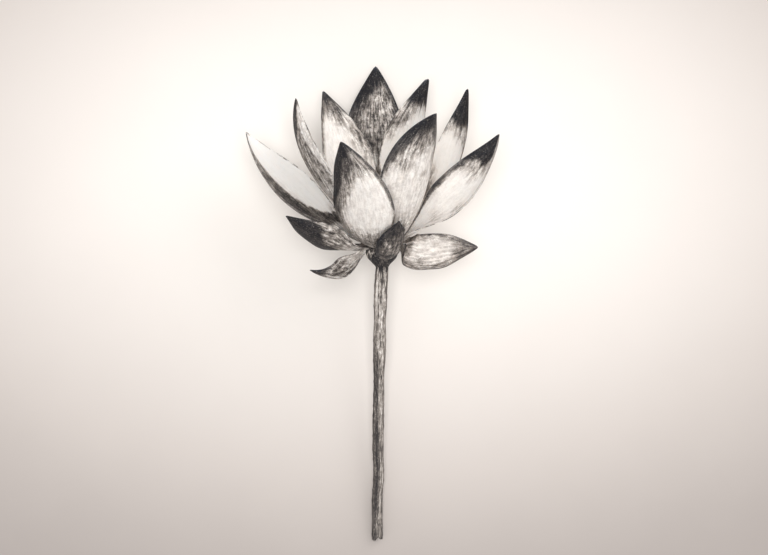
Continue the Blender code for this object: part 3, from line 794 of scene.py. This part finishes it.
add_petal("petal_back_centre", "blade_back_centre", "petal", 0.55,
          [above([(-1, 0.92), (-0.3, 0.9), (0, 0.88), (0.5, 0.82), (1, 0.74)], 0.06, 0.95),
           beyond(1, [(0.5, 0.9), (0.65, 0.7), (0.75, 0.4), (0.85, 0.1)], 0.35, 0.5),
           beyond(-1, [(0.5, -0.95), (0.7, -0.85), (0.9, -0.75)], 0.18, 0.6),
           blot(-0.45, 0.77, 0.35, 0.1, -0.3), blot(0.05, 0.56, 0.2, 0.06, 0.25),
           blot(0, 0.44, 0.25, 0.05, -0.6),
           blot(0.95, 0.66, 0.2, 0.06, 0.5)],
          whorl=OUTER, tip=(-4, -49.5, 115.5), width=42.5, widest=0.52, claw=0.12,
          taper=2.3, cup=41, open_by=17, close_by=27, roll=3, sway=2, contrast=2.1)
add_petal("petal_low_left", "blade_low_left", "petal", 0.42,
          [above([(-1, 0.0), (-0.6, 0.12), (-0.4, 0.2), (-0.1, 0.34), (0.1, 0.5), (0.4, 0.6), (0.8, 0.68),
                  (1, 0.85)], 0.1, 0.93),
           blot(0.45, 0.5, 0.25, 0.05, 0.4), blot(0.15, 0.36, 0.2, 0.07, 0.5),
           blot(0.75, 0.36, 0.2, 0.07, 0.3),
           beyond(-1, [(0.1, -0.85), (0.3, -0.5), (0.5, -0.4)], 0.2, 0.75),
           blot(0.1, 0.2, 0.5, 0.06, -0.6), blot(0.7, 0.55, 0.3, 0.12, 0.18),
           blot(0.2, 0.47, 0.25, 0.06, -0.25)],
          whorl=OUTER, tip=(-59, 16.5, 32.5), width=33.5, widest=0.49, claw=0.4,
          taper=1.7, cup=41, open_by=32, close_by=19, roll=36, sway=6, contrast=1.8)
add_petal("petal_low_right", "blade_low_right", "petal", 0.16,
          [beyond(-1, [(0.05, -0.3), (0.4, -0.3), (0.8, -0.25), (1, 0)], 0.35, 0.34),
           above([(-1, 0.72), (0, 0.72), (0.5, 0.76), (1, 0.8)], 0.16, 0.45),
           above([(-1, 0.93), (1, 0.93)], 0.08, 0.5),
           beyond(1, [(0.1, 0.85), (0.9, 0.72)], 0.3, 0.28),
           beyond(-1, [(0, -0.92), (1, -0.92)], 0.08, 0.4),
           blot(-0.1, 0.8, 0.2, 0.04, 0.3), blot(-0.1, 0.3, 0.15, 0.06, 0.3),
           below([(-1, 0.16), (1, 0.12)], 0.12, 0.3)],
          whorl=(11, 9), tip=(59.5, 5, 10.5), width=32, widest=0.49, claw=0.92,
          taper=1.9, cup=60, open_by=48, close_by=11, roll=46, settle=0.14)
add_petal("petal_under_right", "blade_under_right", "petal", 0.07,
          [above([(-1, 0.8), (0, 0.84), (1, 0.78)], 0.06, 0.85),
           above([(-1, 0.64), (0, 0.7), (1, 0.66)], 0.2, 0.35),
           below([(-1, 0.2), (1, 0.2)], 0.2, 0.35)],
          whorl=LOW, tip=(32, -54.5, 64.5), width=45.5, widest=0.5, claw=0.17,
          taper=2.1, cup=36, open_by=6, close_by=8, roll=14, sway=-0.5)
add_petal("petal_under_left", "blade_under_left", "petal", 0.07,
          [above([(-1, 0.78), (0, 0.84), (1, 0.8)], 0.06, 0.85),
           above([(-1, 0.66), (0, 0.7), (1, 0.64)], 0.2, 0.35),
           below([(-1, 0.2), (1, 0.2)], 0.2, 0.35)],
          whorl=LOW, tip=(-29.5, -51, 63), width=39, widest=0.51, claw=0.15,
          taper=2, cup=34, open_by=4, close_by=18, roll=13, sway=-3.5)
add_petal("petal_under_centre", "blade_under_centre", "petal", 0.12,
          [above([(-1, 0.76), (0, 0.8), (1, 0.74)], 0.08, 0.85), below([(-1, 0.25), (1, 0.25)], 0.2, 0.4)],
          whorl=CALYX, tip=(1, -45, 33.5), width=26, widest=0.51, claw=0.1,
          taper=2, cup=39, open_by=40, close_by=25, roll=5)

# ----------------------------------------------------------------------------------------------------
# Sepals. Four small outermost leaves, tougher than the petals and almost black, which clasp the bulb.

add_petal("sepal_front", "sepal_blade_front", "sepal", 0.74,
          [above([(-1, 0.62), (0, 0.7), (1, 0.75)], 0.15, 0.7), blot(-0.3, 0.52, 0.3, 0.14, -0.25),
           blot(0.25, 0.36, 0.3, 0.16, -0.3), blot(0.6, 0.2, 0.25, 0.08, -0.3),
           beyond(-1, [(0, -0.75), (1, -0.55)], 0.25, 0.8), blot(-0.1, 0.14, 0.3, 0.1, 0.8)],
          whorl=CALYX, tip=(10.5, 35.5, 33), width=23, widest=0.52, claw=0.65,
          taper=2, cup=42, open_by=22, close_by=26, roll=18, sway=-1.5, contrast=2.2)
add_petal("sepal_left", "sepal_blade_left", "sepal", 0.4,
          [above([(-1, 0.72), (-0.3, 0.78), (0.2, 0.86), (1, 0.95)], 0.1, 0.85),
           blot(-0.2, 0.55, 0.5, 0.13, 0.35),
           beyond(-1, [(0.4, -0.95), (0.8, -0.8)], 0.15, 0.5), below([(-1, 0.3), (1, 0.3)], 0.16, -0.45),
           beyond(1, [(0, 0.6), (1, 0.6)], 0.3, 0.25)],
          whorl=(12, 6.5), tip=(-44.5, 16.5, -1.5), width=21, widest=0.43, claw=0.47,
          taper=1.7, cup=49, open_by=37, close_by=45, roll=-20, sway=13, contrast=2.2)
add_petal("sepal_back_right", "sepal_blade_back_right", "sepal", 0.6,
          [above([(-1, 0.6), (1, 0.6)], 0.2, 0.6)],
          whorl=CALYX, tip=(16, -26, 22.5), width=16, widest=0.5, claw=0.48,
          taper=2, cup=47, open_by=16, close_by=19, roll=8, sway=9)
add_petal("sepal_back_left", "sepal_blade_back_left", "sepal", 0.6,
          [above([(-1, 0.6), (1, 0.6)], 0.2, 0.6)],
          whorl=CALYX, tip=(-15, -26, 22), width=16.5, widest=0.51, claw=0.46,
          taper=2, cup=46, open_by=14, close_by=24, roll=3, sway=1)

# ----------------------------------------------------------------------------------------------------
# Floor, light and camera. A plain pale table under soft overhead light, seen from straight above. A pool of
# light is painted on the table round the flower, and painted shade greys it further off.

VIEW_CENTRE = (0.0073, 0.0168)
CAMERA_HEIGHT = 2.0
FLOOR_SIZE = 6.0
PAINTED_POOL_MIDDLE = 0.08            # the pool of light painted on the table: its middle, and where it starts and stops fading
PAINTED_POOL_EDGE = 0.02
PAINTED_POOL_END = 0.30
PAINTED_POOL_SQUASH = 0.62            # it reaches further to the sides than along the stem
# Table greys from the bright middle of the painted pool of light out to the painted shade far from it.
PAINTED_POOL_GREYS = [(0.0, (246, 241, 236)), (0.3, (227, 220, 215)), (0.65, (202, 194, 189)),
               (1.0, (168, 160, 156))]
LIGHT_COLOR = (1.0, 0.995, 0.985)


def painted_pool_floor_finish():
    """Warm off-white with a painted pool of light, brightest round the flower, and painted shade that makes it
    a little greyer past the cut end of the stem.
    """
    material, shader, blank = new_finish("pale_table_painted_pool", 0.9, 0.1)
    place = blank.node("ShaderNodeTexCoord", output="Object")
    aside, along = place.split("X") * PAINTED_POOL_SQUASH, place.split("Y") - PAINTED_POOL_MIDDLE
    away = (aside * aside + along * along).math("SQRT")
    # The level is painted light falloff: 0 inside the painted pool, rising into painted shade away from it,
    # with a faint mottle of the table's own.
    level = away.rise(PAINTED_POOL_EDGE, PAINTED_POOL_END) + (blank.noise(place, 14, 3) - 0.5) * 0.06
    stops = [(stop, to_linear(color)) for stop, color in PAINTED_POOL_GREYS]
    wire(shader, "Base Color", level.node("ShaderNodeValToRGB", {"stops": stops}, {0: level}))
    return material


floor_mesh = bpy.data.meshes.new("table")
reach = FLOOR_SIZE / 2
floor_corners = [(-reach, -reach, 0), (reach, -reach, 0), (reach, reach, 0), (-reach, reach, 0)]
floor_mesh.from_pydata(floor_corners, [], [(0, 1, 2, 3)])
floor_mesh.materials.append(painted_pool_floor_finish())
floor = bpy.data.objects.new("table", floor_mesh)
bpy.context.scene.collection.objects.link(floor)


def add_area_light(name, place, aim, size, watts):
    """A square soft light at place, turned towards aim."""
    lamp = bpy.data.lights.new(name, "AREA")
    lamp.size = size
    lamp.energy = watts
    lamp.color = LIGHT_COLOR
    item = bpy.data.objects.new(name, lamp)
    bpy.context.scene.collection.objects.link(item)
    away = np.array(place) - np.array(aim)
    item.location = place
    tilt = math.atan2(math.hypot(away[0], away[1]), away[2])
    item.rotation_euler = (tilt, 0, math.atan2(away[0], -away[1]))


add_area_light("overhead", (0.0, 0.1, 3.0), (0, 0.05, 0), 1.2, 44)
add_area_light("far_window", (1.5, 1.5, 1.5), (0, 0.08, 0.04), 2.0, 24)

world = bpy.data.worlds.new("soft_room")
world.use_nodes = True
sky = world.node_tree.nodes["Background"]
sky.inputs["Color"].default_value = (*LIGHT_COLOR, 1)
sky.inputs["Strength"].default_value = 0.66
bpy.context.scene.world = world
bpy.context.scene.view_settings.view_transform = "Standard"

lens = bpy.data.cameras.new("overhead_camera")
lens.lens = 148
lens.sensor_width = 36
lens.clip_end = 10
camera = bpy.data.objects.new("overhead_camera", lens)
camera.location = (*VIEW_CENTRE, CAMERA_HEIGHT)
bpy.context.scene.collection.objects.link(camera)
bpy.context.scene.camera = camera
